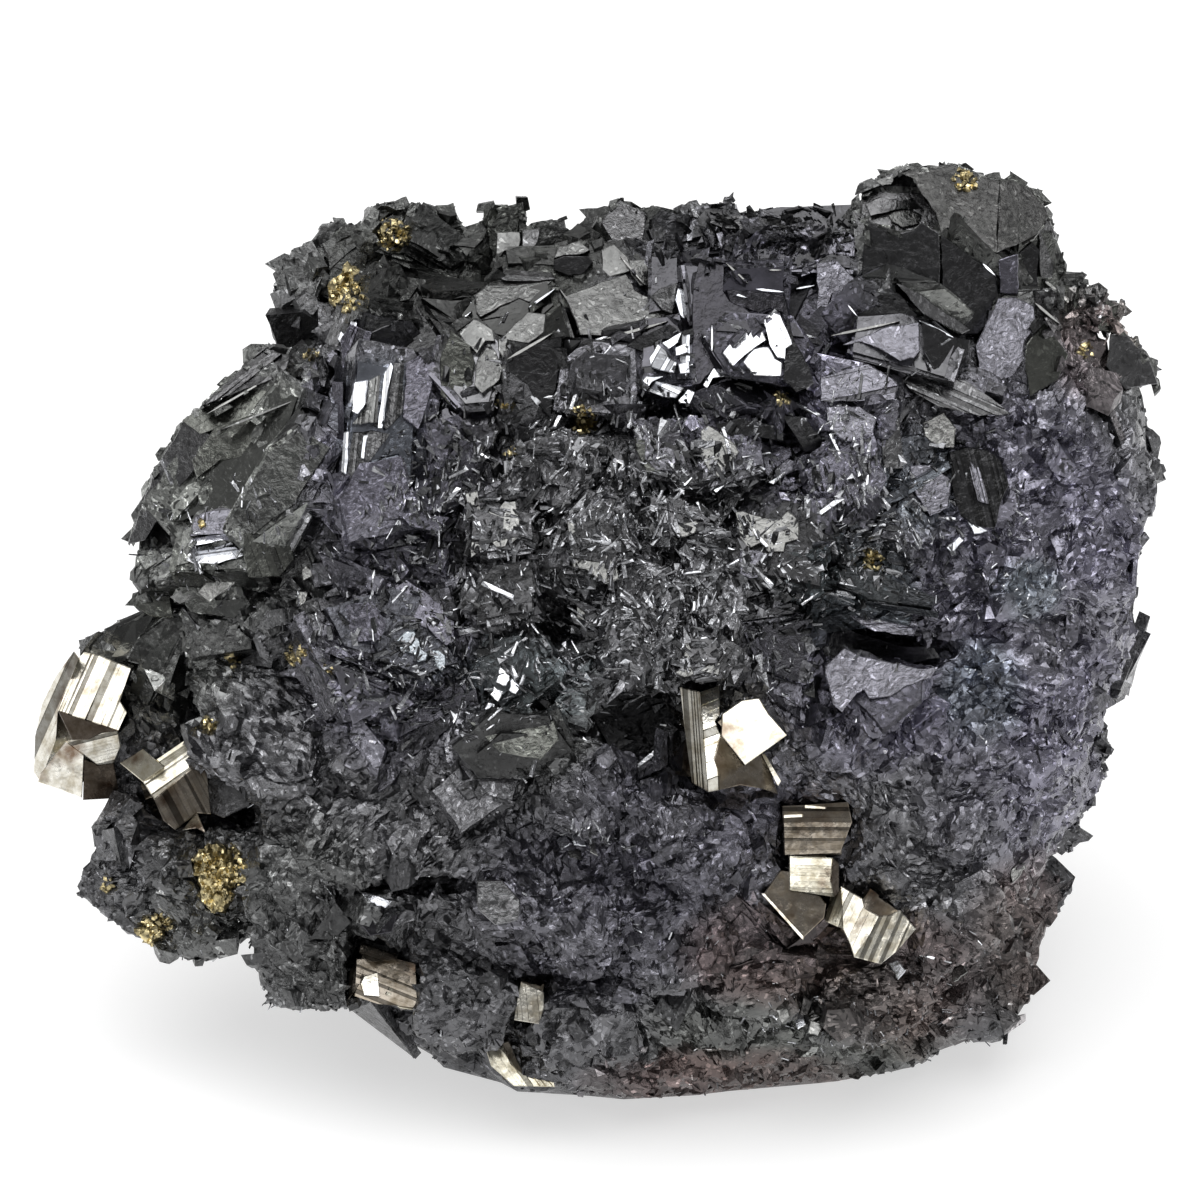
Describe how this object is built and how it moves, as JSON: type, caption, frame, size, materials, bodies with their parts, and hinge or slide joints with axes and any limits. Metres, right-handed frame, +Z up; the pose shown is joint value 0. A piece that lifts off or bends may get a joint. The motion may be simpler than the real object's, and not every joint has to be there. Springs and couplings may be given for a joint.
{
  "type": "sphalerite specimen",
  "caption": "Cabinet specimen of black sphalerite: one mass of intergrown crystals with set-in pyrite cubes and small patches of chalcopyrite.",
  "frame": {"origin": "on the surface that the specimen rests on, under the middle of its bounding box", "axes": "+X across the crystal-covered display face to the viewer's right, +Y from that face to the back, +Z up from the flat broken base"},
  "size_m": [0.1144, 0.0828, 0.0844],
  "materials": {
    "sphalerite": "black with a submetallic lustre on the crystal faces",
    "pyrite": "pale brassy metal, finely striated",
    "chalcopyrite": "golden metal, rough and slightly tarnished"
  },
  "bodies": {
    "root": {"sphalerite_mass": "sphalerite", "pyrite_left_pair": "pyrite", "pyrite_left_lower": "pyrite", "pyrite_centre_pair": "pyrite", "pyrite_right_trio": "pyrite", "pyrite_right_ledged": "pyrite", "pyrite_lower_left_pair": "pyrite", "pyrite_lower_middle": "pyrite", "pyrite_base_edge": "pyrite", "chalcopyrite_knob": "chalcopyrite", "chalcopyrite_knob_foot": "chalcopyrite", "chalcopyrite_crest": "chalcopyrite", "chalcopyrite_upper_left": "chalcopyrite", "chalcopyrite_left": "chalcopyrite", "chalcopyrite_middle": "chalcopyrite", "chalcopyrite_right": "chalcopyrite"}
  },
  "joints": []
}
